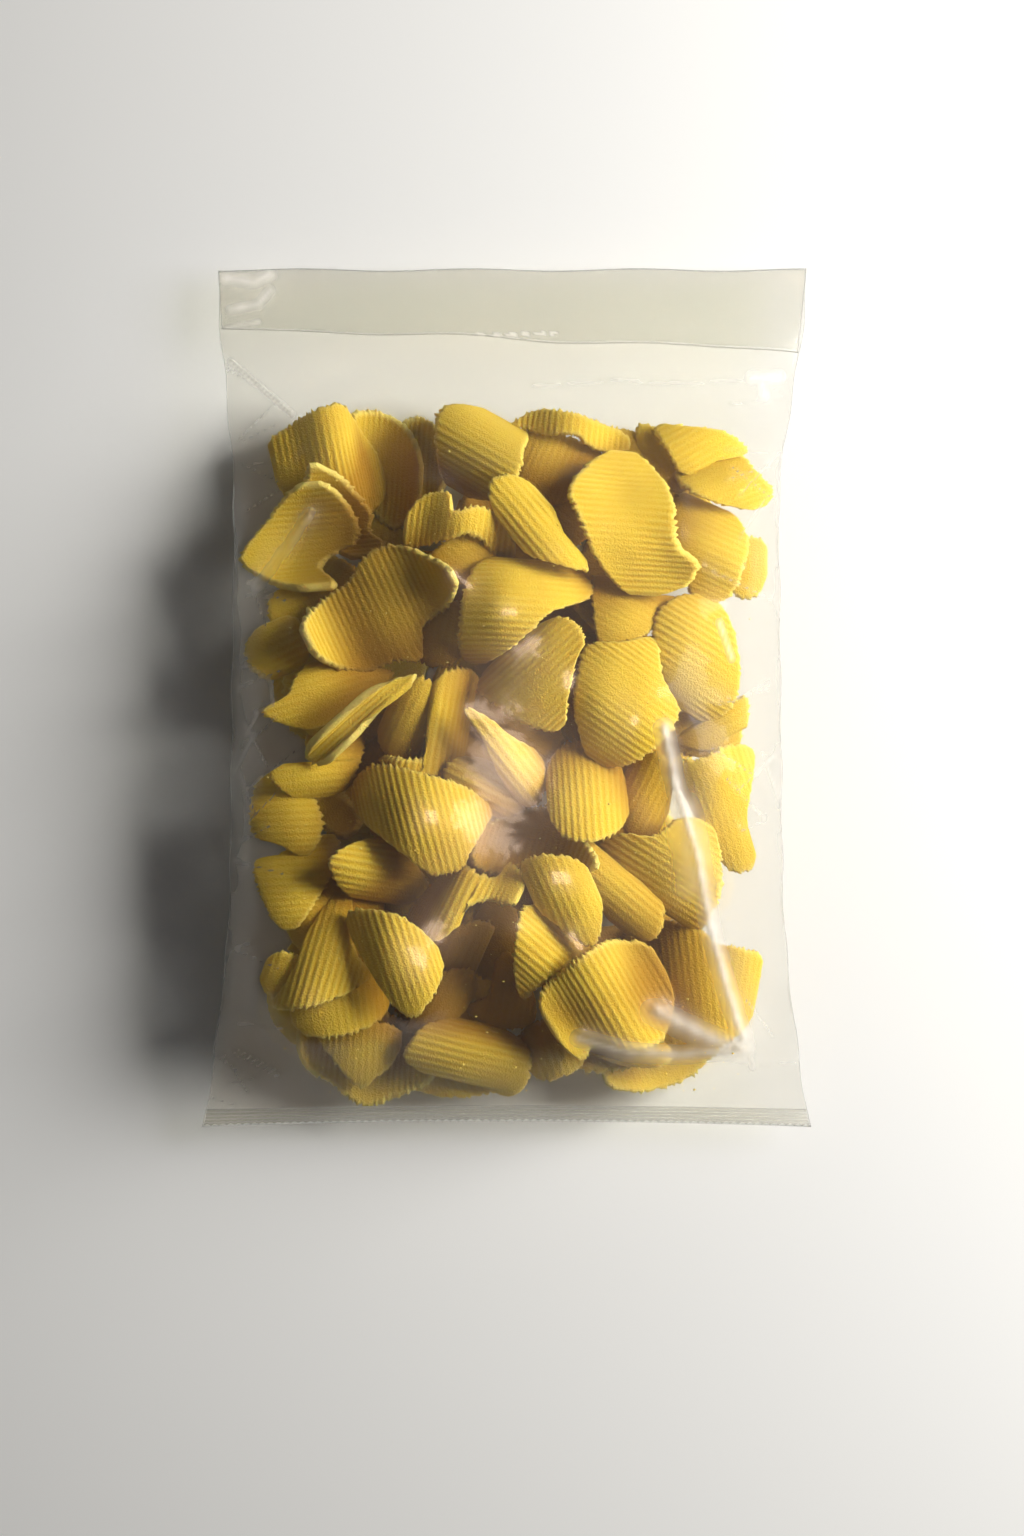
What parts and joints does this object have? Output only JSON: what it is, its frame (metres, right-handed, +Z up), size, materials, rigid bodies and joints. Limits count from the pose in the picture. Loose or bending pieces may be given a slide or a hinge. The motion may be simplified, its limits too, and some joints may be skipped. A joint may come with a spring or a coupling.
{
  "type": "bag of crisps",
  "caption": "Sealed clear film bag filled with ridged, cupped crisps, lying on its back; a pillow with flat empty film at its top and bottom ends.",
  "frame": {"origin": "under the middle of the bag's bounding box, on the surface that it lies on", "axes": "+X across the bag's front, +Y along the bag from the bottom weld to the folded flap, +Z up, out of the bag's front"},
  "size_m": [0.152, 0.215, 0.0494],
  "materials": {
    "film": "clear, slightly milky film, with yellow ridged crisps showing behind it",
    "crisp": "matt puffed crisp, yellow, with a fine dry grain"
  },
  "bodies": {
    "root": {"bag": "film"}
  },
  "joints": []
}
